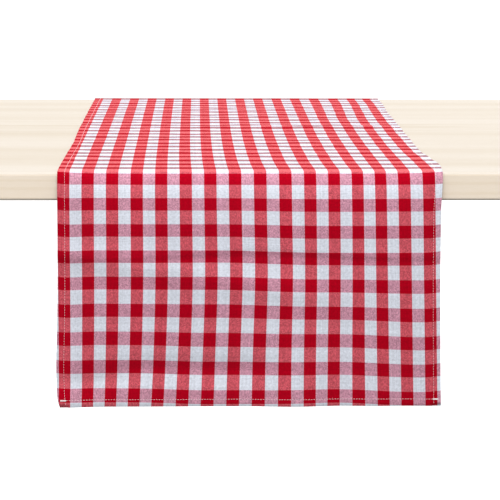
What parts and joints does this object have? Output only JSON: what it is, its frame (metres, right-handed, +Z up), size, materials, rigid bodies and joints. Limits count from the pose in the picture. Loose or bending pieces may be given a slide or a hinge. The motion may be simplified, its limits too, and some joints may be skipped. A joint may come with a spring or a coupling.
{
  "type": "tablecloth on a table",
  "caption": "Red and white gingham cotton table runner draped across a plain pale wooden table, hanging over its front and back edges.",
  "frame": {"origin": "on the floor under the middle of the table", "axes": "+X along the table and across the runner, -Y towards the guest who faces the front drop, +Z up"},
  "size_m": [1.2, 0.7054, 0.7527],
  "materials": {
    "gingham_cotton": "yarn-dyed plain weave, matte",
    "sewing_thread": "white spun polyester thread",
    "table_top_wood": "pale straight-grained softwood, soap finished",
    "frame_wood": "pale straight-grained softwood, soap finished",
    "zinc_plated_steel": "zinc plated",
    "nylon": "moulded"
  },
  "bodies": {
    "table": {"table_top": "table_top_wood", "leg_front_left": "frame_wood", "leg_front_right": "frame_wood", "leg_back_left": "frame_wood", "leg_back_right": "frame_wood", "end_rail_left": "frame_wood", "end_rail_right": "frame_wood", "long_rail": "frame_wood", "bracket_left_front": "zinc_plated_steel", "bracket_left_back": "zinc_plated_steel", "bracket_right_front": "zinc_plated_steel", "bracket_right_back": "zinc_plated_steel", "bracket_middle_left": "zinc_plated_steel", "bracket_middle_right": "zinc_plated_steel", "top_screw_left_front": "zinc_plated_steel", "top_screw_left_back": "zinc_plated_steel", "top_screw_right_front": "zinc_plated_steel", "top_screw_right_back": "zinc_plated_steel", "top_screw_middle_left": "zinc_plated_steel", "top_screw_middle_right": "zinc_plated_steel", "rail_screw_left_front": "zinc_plated_steel", "rail_screw_left_back": "zinc_plated_steel", "rail_screw_right_front": "zinc_plated_steel", "rail_screw_right_back": "zinc_plated_steel", "rail_screw_middle_left": "zinc_plated_steel", "rail_screw_middle_right": "zinc_plated_steel", "glide_front_left": "nylon", "glide_front_right": "nylon", "glide_back_left": "nylon", "glide_back_right": "nylon"},
    "runner": {"runner_cloth": "gingham_cotton", "hem_left": "gingham_cotton", "hem_right": "gingham_cotton", "hem_front": "gingham_cotton", "hem_back": "gingham_cotton", "seam_left": "sewing_thread", "seam_right": "sewing_thread", "seam_front": "sewing_thread", "seam_back": "sewing_thread", "backtack_front_left": "sewing_thread", "backtack_front_right": "sewing_thread", "backtack_back_left": "sewing_thread", "backtack_back_right": "sewing_thread"}
  },
  "joints": [
    {"name": "runner_slide", "type": "slide", "parent": "table", "child": "runner", "axis": [1, 0, 0], "range_m": [-0.38, 0.38]}
  ]
}
